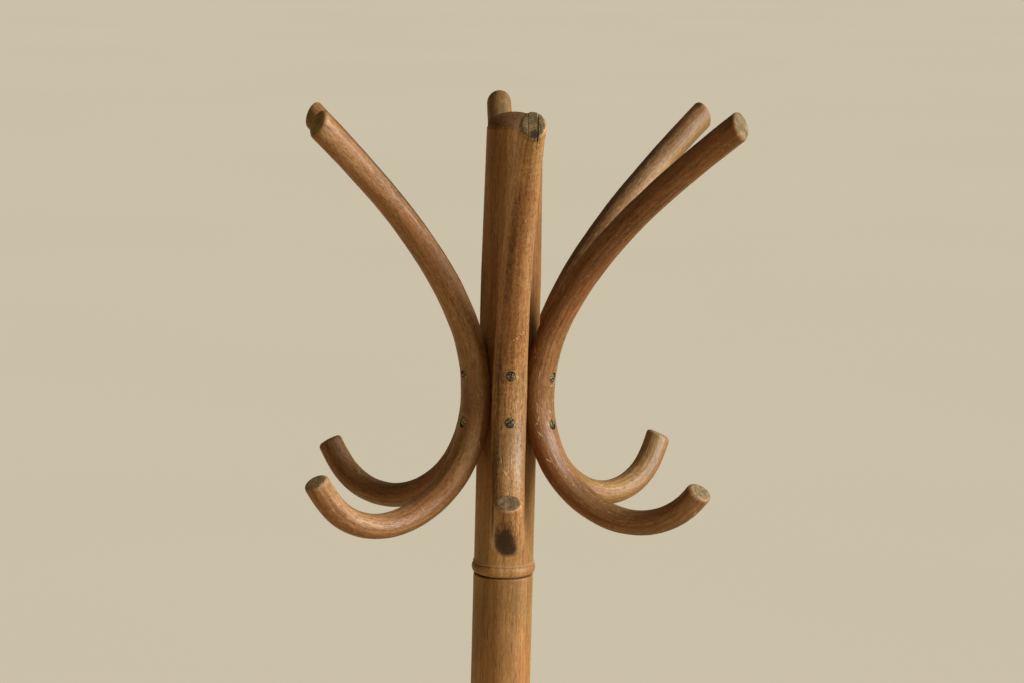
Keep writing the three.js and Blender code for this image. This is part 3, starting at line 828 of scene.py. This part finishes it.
def mark_hook(piece, name, line, radius, screws, seed):
    """Rubbed ends, rubbed crowns of the lower curl, chipped wood round the screws and stray scratches."""
    x, y, z = grain_of(piece.data).T
    start, end = line[0, 0], line[-1, 0]
    around = np.arctan2(x, y)  # 0 faces away from the post
    girth = 2 * pi * radius
    round_rod = around * radius
    rim = np.hypot(x, y) / radius
    on_end = np.minimum(z - start, end - z)
    rubbed = 0.5 * bell(on_end - 0.0012, 0.0016) * (rim > 0.85) * (0.75 + 0.5 * np.sin(2 * around + seed))
    rubbed += 0.34 * bell(z - (end - 0.085), 0.055) * np.clip(np.cos(around), 0, 1)
    rubbed += 0.24 * bell(z - (end - 0.012), 0.02)
    rubbed += 0.20 * bell(z - (start + 0.03), 0.04)
    stain_and_shade = 0.35 * bell(on_end - 0.004, 0.005) * np.clip(np.sin(3 * around + seed * 2), 0, 1)
    # Painted shade: the upper arm's side that faces the post and up is darkened, growing over 12 cm above
    # the screws.
    on_top = bell((pi - np.abs(around)) / 1.15, 1) * np.clip(-z / 0.12, 0, 1)
    stain_and_shade += 0.62 * on_top * (1 - 0.5 * bell(z - start, 0.03))
    scratched = scattered_strokes(z, round_rod, start, end, girth, 46, seed)
    for side in (-1, 1):
        screw_at = -screws + side * HOOK_SCREW["spacing"] / 2
        away = np.hypot(z - screw_at, x)
        chip = bell(away - 0.0053, 0.0012) * (y > 0)
        bearing = np.arctan2(x, z - screw_at)
        scratched = np.maximum(scratched, chip * (0.40 + 0.30 * np.sin(bearing + seed * 2 + side)))
    for sideways, outwards, width, strength in END_SMUDGES.get(name, []):
        smudge = bell(np.hypot(x - sideways, y - outwards), width)
        stain_and_shade += strength * smudge * (z < start + SMUDGE_REACH)
    # Stains, and the painted shade down the front hook's left side.
    for along, turned_to, length, width, strength in STAINS_AND_SHADE.get(name, []):
        aside = (round_rod - turned_to + girth / 2) % girth - girth / 2
        stain_and_shade += strength * bell(np.hypot((z - along) / length, aside / width), 1)
    for along, turned_to, end_along, end_turned, width, strength in SCRATCHES.get(name, []):
        scratched += strength * stroke(z, round_rod, (along, turned_to), (end_along, end_turned), width)
    store_marks(piece.data, rubbed, stain_and_shade, scratched)


# Where a sawn end has split: [sideways, width at the mouth, depth], on the straight rod
END_SPLITS = {
    "hook_front": [[-0.0042, 0.0007, 0.008], [0.0046, 0.0017, 0.016]],
    "hook_front_right": [[0.0030, 0.0004, 0.005]],
    "hook_back_left": [[0.0010, 0.0004, 0.005]],
}


def split_end(piece, start, splits):
    """Opens wedge-shaped drying splits across the upper end."""
    tools = []
    for sideways, width, depth in splits:
        wedge = bmesh.new()
        bmesh.ops.create_cube(wedge, size=1)
        wedge.transform(Matrix.Diagonal((width, 0.04, depth * 2, 1)))
        inner = [vert for vert in wedge.verts if vert.co.z > 0]
        bmesh.ops.scale(wedge, verts=inner, vec=(0.15, 1, 1))
        # Each split is lined with dark dirt and painted shade.
        tools.append(tool_from(wedge, Matrix.Translation((sideways, 0, start)), CREVICE_DIRT_AND_SHADE))
    if tools:
        cut(piece, tools)


def mark_plain(piece, seed, scratches):
    """Light wear for a straight or turned piece."""
    x, y, z = grain_of(piece.data).T
    radius = float(np.hypot(x, y).max())
    around = np.arctan2(x, y) * radius
    scratched = scattered_strokes(z, around, z.min(), z.max(), 2 * pi * radius, scratches, seed)
    store_marks(piece.data, np.zeros(len(z)), np.zeros(len(z)), scratched * 0.8)


NICK_WIDTH = 0.0011
# Nicks high on the head post: [below the top, round from the front, length]
NICKS = [[0.034, 0.0065, 0.004], [0.040, 0.0085, 0.002], [0.047, 0.0075, 0.003], [0.030, 0.0050, 0.002]]


def mark_head_post(piece, seed):
    """A dirty crown, darker lines under the crown and at the quirk, a bead whose upper edge is pale, partly
    rubbed and partly a painted highlight, nicks below the crown and stray scratches.
    """
    x, y, z = grain_of(piece.data).T
    top = HEAD_FOOT + HEAD_LENGTH
    round_post = np.arctan2(x, -y) * HEAD_FOOT_RADIUS
    girth = 2 * pi * HEAD_FOOT_RADIUS
    quirk = HEAD_FOOT + BEAD_HEIGHT
    # Painted highlight, partly rubbed wear: a pale band along the quirk's edge above the bead.
    rubbed = 0.95 * bell(z - (quirk + QUIRK_HEIGHT * 0.6), 0.0013)
    rubbed += 0.25 * bell(z - (HEAD_FOOT + BEAD_HEIGHT * 0.55), 0.003)
    stain_and_shade = 0.62 * np.clip((z - (top - CROWN_HEIGHT)) / 0.002, 0, 1)
    # Darker lines in the scribed line under the crown and at the foot of the quirk.
    stain_and_shade += 0.4 * bell(z - (top - CROWN_HEIGHT), 0.0012) + 0.22 * bell(z - quirk, 0.0010)
    scratched = 0.8 * scattered_strokes(z, round_post, z.min(), z.max(), girth, 60, seed)
    for below, turned_to, length in NICKS:
        nick = [(top - below, turned_to), (top - below - length, turned_to)]
        hit = stroke(z, round_post, *nick, NICK_WIDTH)
        scratched = np.maximum(scratched, hit)
    store_marks(piece.data, rubbed, stain_and_shade, scratched)


# ---- Turned posts ----

POST_SIDES = 120
POST_RING_STEP = 0.0025


def quarter(count):
    """Angles of a quarter turn, its ends left out."""
    return [pi / 2 * i / count for i in range(1, count)]


def lower_post_profile(gap):
    """The lower post from its rounded foot to its softened top edge."""
    swell = POST_RADIUS - POST_FOOT_RADIUS
    rise = [
        [POST_FOOT_RADIUS + swell * sin(a) + gap, POST_FOOT + POST_FOOT_LENGTH * (1 - cos(a))]
        for a in quarter(8)
    ]
    arris = [
        [POST_RADIUS - POST_ARRIS * (1 - cos(a)) + gap, SEAM - POST_ARRIS * (1 - sin(a))]
        for a in quarter(4)
    ]
    return [
        [0, POST_FOOT],
        [POST_FOOT_RADIUS + gap, POST_FOOT],
        *rise,
        [POST_RADIUS + gap, POST_FOOT + POST_FOOT_LENGTH],
        [POST_RADIUS + gap, SEAM - POST_ARRIS],
        *arris,
        [POST_RADIUS - POST_ARRIS + gap, SEAM],
        [0, SEAM],
    ]


def head_post_profile(gap):
    """The head post from its bead to its crown."""
    foot, top = HEAD_FOOT, HEAD_FOOT + HEAD_LENGTH
    shares = [i / BEAD_STEPS for i in range(1, BEAD_STEPS)]
    bead = [
        [HEAD_FOOT_RADIUS + BEAD_PROUD * sin(share * pi) ** BEAD_FULLNESS + gap, foot + share * BEAD_HEIGHT]
        for share in shares
    ]
    quirk = foot + BEAD_HEIGHT
    crown_foot = top - CROWN_HEIGHT
    crown = [
        [HEAD_TOP_RADIUS * cos(a) + gap, crown_foot + CROWN_HEIGHT * sin(a)] for a in quarter(12)
    ]
    return [
        [0, foot],
        [HEAD_FOOT_RADIUS + gap, foot],
        *bead,
        [HEAD_FOOT_RADIUS + QUIRK_ROOT + gap, quirk],
        [HEAD_FOOT_RADIUS + QUIRK_PROUD + gap, quirk + QUIRK_CORNER],
        [HEAD_FOOT_RADIUS + QUIRK_PROUD + gap, quirk + QUIRK_HEIGHT - QUIRK_CORNER],
        [HEAD_FOOT_RADIUS + QUIRK_PROUD * 0.6 + gap, quirk + QUIRK_HEIGHT],
        [HEAD_FOOT_RADIUS + gap, quirk + QUIRK_HEIGHT + QUIRK_ROOT],
        [HEAD_FOOT_RADIUS + gap, foot + HEAD_TAPER_START],
        [HEAD_TOP_RADIUS + gap, crown_foot - CROWN_LINE],
        [HEAD_TOP_RADIUS - CROWN_LINE + gap, crown_foot],
        *crown[1:],
        [0, top],
    ]


def post_from(name, profile, finish, tools):
    """A turned post in rings close enough together for its marks, with the tools cut out of it."""
    bm = turned(ringed(profile, POST_RING_STEP), POST_SIDES)
    keep_grain(bm)
    piece = piece_from(bm, name)
    piece.data.materials.append(finish)
    cut(piece, tools)
    smooth(piece)
    return piece


def spindle_hole(low, high):
    """The bore round the spindle between two heights."""
    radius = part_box("swivel_spindle")[1].x + FIT_GAP
    return tool_from(turned([[0, low], [radius, low], [radius, high], [0, high]], 48), Matrix(), BARE_BEECH)


# ---- Hooks ----

THICKNESS = width_table(HOOK_THICKNESS)
HOOK_OUT = HEAD_FOOT_RADIUS + np.interp(0, *THICKNESS) - HOOK_SEAT_DEPTH
HOOK_SIDES = 72
HOOK_RING_STEP = 0.0018


def width_at_seat():
    """Half a hook's width beside the post, where neighbours stand round it with a gap between."""
    turns = [hook[0] for hook in HOOKS.values()]
    pitches = [(after - turn) % 360 for turn, after in zip(turns, turns[1:] + turns[:1])]
    half = radians(min(pitches) / 2)
    reach = HOOK_OUT * sin(half) - HOOK_SIDE_GAP / 2
    return sqrt(reach**2 - (np.interp(0, *THICKNESS) * sin(half)) ** 2) / cos(half)


WIDTH = width_table(HOOK_WIDTH + [[0, width_at_seat()]])
# How each hook's two slots were left standing, upper then lower, in degrees
SLOT_TURNS = [(75, 40), (15, 110), (60, 140), (20, 95), (130, 50), (35, 160)]


def make_hook(index, name, head_tools):
    """One hook with its screws: what the head post loses to them joins the head tools."""
    turn, lift, screws, upper, lower = HOOKS[name]
    tones, (crinkle, flecks), end_tones = HOOK_TIMBER[name]
    line = rod_line(HOOK_UPPER_BENDS, upper, HOOK_LOWER_BENDS, lower, HOOK_LEAN, HOOK_OUT)
    radius = float(np.interp(0, *THICKNESS))
    shift = index * 1.7
    beech = aged_beech(name + "_beech", tones, shift, crinkle, flecks)
    sawn = sawn_end(name + "_sawn_end", end_tones, shift, 15 + index * 23)
    piece = rod_piece(name, line, radius, HOOK_SIDES, HOOK_RING_STEP, [beech, sawn])
    split_end(piece, line[0, 0], END_SPLITS.get(name, []))
    bend(piece, line, radius, THICKNESS, WIDTH, HOOK_SAW_ANGLE, index + 1)
    middle = HEAD_FOOT + HOOK_MIDDLE + lift
    place = Matrix.Translation((0, 0, middle)) @ Matrix.Rotation(radians(turn - 90), 4, "Z")
    piece.data.transform(place)
    tools = [tool_from(turned(head_post_profile(FIT_GAP), 96), Matrix(), BARE_BEECH)]
    for where, side, slot_turn in zip(SCREW_PLACES, (0.5, -0.5), SLOT_TURNS[index]):
        height = screws + side * HOOK_SCREW["spacing"]
        face = outer_face(line, THICKNESS, height) - SCREW_SINK
        screw_place = place @ along_x(face, HOOK_SCREW["length"], height)
        # The hook's holes are lined with dark dirt and painted shade round the screw heads, the head post's
        # with bare beech.
        holes = [(tools, CREVICE_DIRT_AND_SHADE), (head_tools, BARE_BEECH)]
        drive(f"{name}_screw_{where}", HOOK_SCREW, screw_place, slot_turn, "head", holes)
    cut(piece, tools)
    mark_hook(piece, name, line, radius, screws, index)
    smooth(piece)
    finished(piece, name, "head")


def make_head():
    """The head post and its six hooks."""
    spindle_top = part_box("swivel_spindle")[1].z
    head_tools = [spindle_hole(HEAD_FOOT - 0.001, spindle_top + FIT_GAP * 4)]
    for index, name in enumerate(HOOKS):
        make_hook(index, name, head_tools)
    tones = [(100, 65, 32), (148, 102, 54), (184, 136, 84)]
    honey = [(130, 88, 42), (170, 124, 70), (202, 158, 102)]
    beech = aged_beech("head_beech", tones, 11.3, 0.3, 0.5, honey)
    post = post_from("head_post", head_post_profile(0), beech, head_tools)
    mark_head_post(post, 21)
    finished(post, "head_post", "head")


# ---- Legs, ring and glides ----

LEG_SIZE = width_table(LEG_ROD)
LEG_OUT = POST_RADIUS + np.interp(0, *LEG_SIZE) - LEG_SEAT_DEPTH
LEG_LINE = rod_line(LEG_UPPER_BENDS, [1, 0, 0], LEG_LOWER_BENDS, [1, 0, 0], 0, LEG_OUT)
LEG_SIDES = 64
LEG_RING_STEP = 0.003
SLAB_SIZE = 0.2
# How each leg's three slots were left standing, upper, lower and at the ring, in degrees
LEG_SLOT_TURNS = [(30, 80, 120), (100, 15, 60), (145, 50, 10), (70, 125, 35)]

RING_SIDES = 32
RING_STEPS = 160


def ring_bm(gap):
    """The umbrella ring, grown by the gap."""
    low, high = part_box("umbrella_ring")
    radius = (high.x - low.x) / 2 - RING_ROD
    bm = bmesh.new()
    stand = Matrix.Translation((radius, 0, (low.z + high.z) / 2)) @ Matrix.Rotation(pi / 2, 4, "X")
    circle = bmesh.ops.create_circle(bm, segments=RING_SIDES, radius=RING_ROD + gap, matrix=stand)["verts"]
    edges = list({edge for vert in circle for edge in vert.link_edges})
    spin_round(bm, circle + edges, RING_STEPS)
    bmesh.ops.remove_doubles(bm, verts=bm.verts, dist=MERGE)
    bmesh.ops.recalc_face_normals(bm, faces=bm.faces)
    return bm


def keep_ring_grain(bm, radius, height):
    """The ring's timber was straight too: unrolls it along Z."""
    grain = bm.loops.layers.float_vector.new("grain")
    for face in bm.faces:
        middle = face.calc_center_median()
        for loop in face.loops:
            x, y, z = loop.vert.co
            angle = np.arctan2(y, x)
            if middle.y < 0 < angle - 3:
                angle -= 2 * pi
            loop[grain] = (hypot(x, y) - radius, z - height, angle * radius)


def glide_profile(gap):
    """A floor glide: a round pad with a pin that goes up into the leg, grown by the gap."""
    low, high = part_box("leg_front_glide")
    radius = (high.x - low.x) / 2
    soft = GLIDE_ROUNDING
    return [
        [0, low.z],
        [radius - soft + gap, low.z],
        [radius + gap, low.z + soft],
        [radius + gap, GLIDE_TOP - soft * 0.5 + gap],
        [radius - soft * 0.5 + gap, GLIDE_TOP + gap],
        [GLIDE_PIN_RADIUS + gap, GLIDE_TOP + gap],
        [GLIDE_PIN_RADIUS + gap, GLIDE_TOP + GLIDE_PIN_LENGTH + gap],
        [0, GLIDE_TOP + GLIDE_PIN_LENGTH + gap],
    ]


def plain_turned(name, profile, sides, place, finish):
    """A turned piece of the base that nothing is cut out of."""
    bm = turned(profile, sides)
    keep_grain(bm)
    bm.transform(place)
    piece = piece_from(bm, name)
    piece.data.materials.append(finish)
    smooth(piece)
    finished(piece, name, "base")


def make_leg(index, name, post_tools, ring_tools):
    """One leg with its screws and its glide."""
    place = Matrix.Rotation(index * pi / 2 - pi / 2, 4, "Z")
    lifted = place @ Matrix.Translation((0, 0, LEG_MIDDLE))
    radius = float(np.interp(0, *LEG_SIZE))
    piece = rod_piece(name, LEG_LINE, radius, LEG_SIDES, LEG_RING_STEP, [LEG_BEECH, LEG_SAWN_END])
    bend(piece, LEG_LINE, radius, LEG_SIZE, LEG_SIZE, 0, index + 11)
    piece.data.transform(lifted)

    glide_low, glide_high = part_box(name + "_glide")
    glide_middle = (glide_low + glide_high) / 2
    stand = Matrix.Translation((glide_middle.x, glide_middle.y, 0))
    plain_turned(name + "_glide", glide_profile(0), 48, stand, NYLON)

    slab = bmesh.new()  # saws the leg off level above its glide
    bmesh.ops.create_cube(slab, size=SLAB_SIZE)
    slab_height = GLIDE_TOP + FIT_GAP - SLAB_SIZE / 2
    under = Matrix.Translation((glide_middle.x, glide_middle.y, slab_height))
    tools = [
        tool_from(turned(lower_post_profile(FIT_GAP), 96), Matrix(), BARE_BEECH),
        tool_from(ring_bm(FIT_GAP), Matrix(), BARE_BEECH),
        tool_from(turned(glide_profile(FIT_GAP), 24), stand, BARE_BEECH),
        tool_from(slab, under, LEG_SAWN_END),
    ]
    face = LEG_OUT + radius - SCREW_SINK
    for where, side, slot_turn in zip(SCREW_PLACES, (0.5, -0.5), LEG_SLOT_TURNS[index]):
        screw_place = lifted @ along_x(face, LEG_SCREW["length"], side * LEG_SCREW["spacing"])
        holes = [(tools, BARE_BEECH), (post_tools, BARE_BEECH)]
        drive(f"{name}_screw_{where}", LEG_SCREW, screw_place, slot_turn, "base", holes)
    ring_up = LEG_LINE[0, 2] - RING_UNDER_LEG_END
    upper = LEG_LINE[LEG_LINE[:, 0] <= 0][::-1]
    out_at_ring = np.interp(ring_up, upper[:, 2], upper[:, 1])
    size_at_ring = np.interp(LEG_LINE[0, 0] + RING_UNDER_LEG_END, *LEG_SIZE)
    ring_face = out_at_ring + size_at_ring - SCREW_SINK
    ring_place = lifted @ along_x(ring_face, RING_SCREW["length"], ring_up)
    holes = [(tools, BARE_BEECH), (ring_tools, BARE_BEECH)]
    drive(name + "_ring_screw", RING_SCREW, ring_place, LEG_SLOT_TURNS[index][2], "base", holes)
    cut(piece, tools)
    mark_plain(piece, 31 + index, 70)
    smooth(piece)
    finished(piece, name, "base")


def make_spindle_and_washer():
    low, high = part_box("swivel_spindle")
    radius, chamfer = high.x, SPINDLE_CHAMFER
    profile = [
        [0, low.z],
        [radius - chamfer, low.z],
        [radius, low.z + chamfer],
        [radius, high.z - chamfer],
        [radius - chamfer, high.z],
        [0, high.z],
    ]
    plain_turned("swivel_spindle", profile, 64, Matrix(), SPINDLE_STEEL)
    low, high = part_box("swivel_washer")
    inner = radius + FIT_GAP
    soft = WASHER_ROUNDING
    profile = [
        [inner, low.z],
        [high.x - soft, low.z],
        [high.x, low.z + soft],
        [high.x, high.z - soft],
        [high.x - soft, high.z],
        [inner, high.z],
        [inner, low.z],
    ]
    plain_turned("swivel_washer", profile, 64, Matrix(), SPINDLE_STEEL)


def make_base():
    """Everything that stands still."""
    spindle_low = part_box("swivel_spindle")[0].z
    post_tools = [spindle_hole(spindle_low - FIT_GAP, SEAM + 0.01)]
    ring_tools = []
    for index, name in enumerate(LEGS):
        make_leg(index, name, post_tools, ring_tools)
    tones = [(126, 84, 40), (162, 117, 64), (194, 150, 96)]
    honey = aged_beech("lower_post_beech", tones, 14.9, 0.2, 0.45)
    post = post_from("lower_post", lower_post_profile(0), honey, post_tools)
    mark_plain(post, 41, 50)
    finished(post, "lower_post", "base")
    low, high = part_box("umbrella_ring")
    bm = ring_bm(0)
    keep_ring_grain(bm, (high.x - low.x) / 2 - RING_ROD, (low.z + high.z) / 2)
    ring = piece_from(bm, "umbrella_ring")
    ring.data.materials.append(LEG_BEECH)
    cut(ring, ring_tools)
    mark_plain(ring, 51, 40)
    smooth(ring)
    finished(ring, "umbrella_ring", "base")
    make_spindle_and_washer()


# ---- Camera, light and floor ----

LENS = 103.16
CAMERA_PLACE = (0, -2.5879, SEAM + 0.6481)
CAMERA_PAN = -0.053  # degrees
CAMERA_DIP = 9.553
CAMERA_ROLL = 1.517

SUN_HEIGHT = 25  # degrees above the floor
SUN_SIDE = 72  # degrees round from the front towards +X
SUN_STRENGTH = 5.3
SUN_WIDTH = 44
SUN_COLOUR = (1.0, 0.995, 0.965)
ROOM_COLOUR = (0.60, 0.46, 0.24, 1)
ROOM_STRENGTH = 0.22
FAR_WALL = (0.60, 0.53, 0.40, 1)
FLOOR_TONES = [(0.3, (0.700, 0.640, 0.522, 1)), (0.7, (0.713, 0.652, 0.532, 1))]
FLOOR_GLOW = (0.61, 0.47, 0.27, 1)  # what the floor throws back on the wood
FLOOR_SIZE = 120


def make_camera():
    lens = bpy.data.cameras.new("camera")
    lens.lens = LENS
    lens.clip_end = 500
    camera = bpy.data.objects.new("camera", lens)
    pan = Matrix.Rotation(radians(CAMERA_PAN), 4, "Z")
    tilt = Matrix.Rotation(radians(90 - CAMERA_DIP), 4, "X")
    roll = Matrix.Rotation(radians(CAMERA_ROLL), 4, "Z")
    camera.matrix_world = Matrix.Translation(CAMERA_PLACE) @ pan @ tilt @ roll
    bpy.context.scene.collection.objects.link(camera)
    bpy.context.scene.camera = camera


def make_floor():
    bm = bmesh.new()
    bmesh.ops.create_grid(bm, x_segments=1, y_segments=1, size=FLOOR_SIZE)
    floor = piece_from(bm, "studio_floor")
    paint = Nodes("floor_paint")
    place = paint.add("TexCoord", {}).outputs["Object"]
    cloud = paint.noise(place, 0.35, 2, 0.5)
    seen = paint.add("LightPath", {}).outputs["Is Camera Ray"]
    colour = paint.blend(seen, FLOOR_GLOW, paint.ramp(cloud, FLOOR_TONES))
    paint.set(Base_Color=colour, Roughness=1.0, Specular_IOR_Level=0.0)
    floor.data.materials.append(paint.material)


def make_light():
    sun = bpy.data.lights.new("window", "SUN")
    sun.energy = SUN_STRENGTH
    sun.angle = radians(SUN_WIDTH)
    sun.color = SUN_COLOUR
    lamp = bpy.data.objects.new("window", sun)
    height, side = radians(SUN_HEIGHT), radians(SUN_SIDE)
    towards = Vector((sin(side) * cos(height), -cos(side) * cos(height), sin(height)))
    lamp.rotation_euler = towards.to_track_quat("Z", "Y").to_euler()
    bpy.context.scene.collection.objects.link(lamp)
    world = bpy.data.worlds.new("room")
    bpy.context.scene.world = world
    world.use_nodes = True
    nodes, links = world.node_tree.nodes, world.node_tree.links
    room = nodes["Background"]
    room.inputs["Color"].default_value = ROOM_COLOUR
    room.inputs["Strength"].default_value = ROOM_STRENGTH
    seen = nodes.new("ShaderNodeBackground")
    seen.inputs["Color"].default_value = FAR_WALL
    path = nodes.new("ShaderNodeLightPath")
    either = nodes.new("ShaderNodeMixShader")
    links.new(path.outputs["Is Camera Ray"], either.inputs["Fac"])
    links.new(room.outputs["Background"], either.inputs[1])
    links.new(seen.outputs["Background"], either.inputs[2])
    links.new(either.outputs[0], nodes["World Output"].inputs["Surface"])
    bpy.context.scene.view_settings.view_transform = "Standard"


make_camera()
make_floor()
make_light()
make_head()
make_base()
